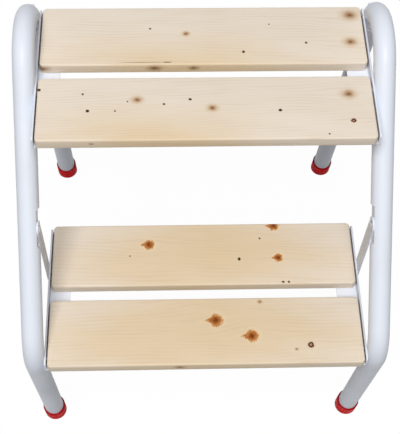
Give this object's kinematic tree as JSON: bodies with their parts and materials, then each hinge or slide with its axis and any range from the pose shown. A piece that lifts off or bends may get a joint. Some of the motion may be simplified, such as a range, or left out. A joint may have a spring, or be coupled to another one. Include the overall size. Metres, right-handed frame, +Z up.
{
  "type": "folding step stool",
  "caption": "Low folding step stool with slatted wooden steps between bent round tubes, hanging stays, rubber feet and rear legs that fold on knuckles.",
  "frame": {"origin": "on the floor below the middle of the stool's outer box", "axes": "+Z up from the floor; +Y to the back, away from the person who steps up; +X to the right side as that person sees it"},
  "size_m": [0.429, 0.4696, 0.5094],
  "materials": {
    "powder_coat": "pale grey gloss powder coat on steel tube and strip",
    "pine": "planed pine with knots under a clear satin varnish",
    "rubber": "moulded red rubber, satin",
    "zinc_steel": "bright zinc plate",
    "knuckle_metal": "pale grey gloss powder coat on a die casting"
  },
  "bodies": {
    "front_frame": {"front_tube_right": "powder_coat", "front_tube_left": "powder_coat", "knuckle_fork_right": "knuckle_metal", "knuckle_fork_left": "knuckle_metal", "top_bracket_right": "powder_coat", "top_bracket_left": "powder_coat", "lower_bracket_right": "powder_coat", "lower_bracket_left": "powder_coat", "stay_right": "powder_coat", "stay_left": "powder_coat", "top_front_board": "pine", "top_rear_board": "pine", "lower_front_board": "pine", "lower_rear_board": "pine", "front_foot_right": "rubber", "front_foot_left": "rubber", "hinge_pins": "zinc_steel", "top_front_rivets": "zinc_steel", "lower_front_rivets": "zinc_steel", "stay_top_rivets": "zinc_steel", "stay_foot_rivets": "zinc_steel", "top_screws": "zinc_steel", "lower_screws": "zinc_steel"},
    "rear_frame": {"rear_leg_right": "powder_coat", "rear_leg_left": "powder_coat", "knuckle_tongue_right": "knuckle_metal", "knuckle_tongue_left": "knuckle_metal", "rear_rail": "powder_coat", "rear_foot_right": "rubber", "rear_foot_left": "rubber"}
  },
  "joints": [
    {"name": "rear_frame_fold", "type": "hinge", "parent": "front_frame", "child": "rear_frame", "pos_m": [0, 0.11445, 0.462], "axis": [-1, 0, 0], "range_deg": [0, 46]}
  ]
}
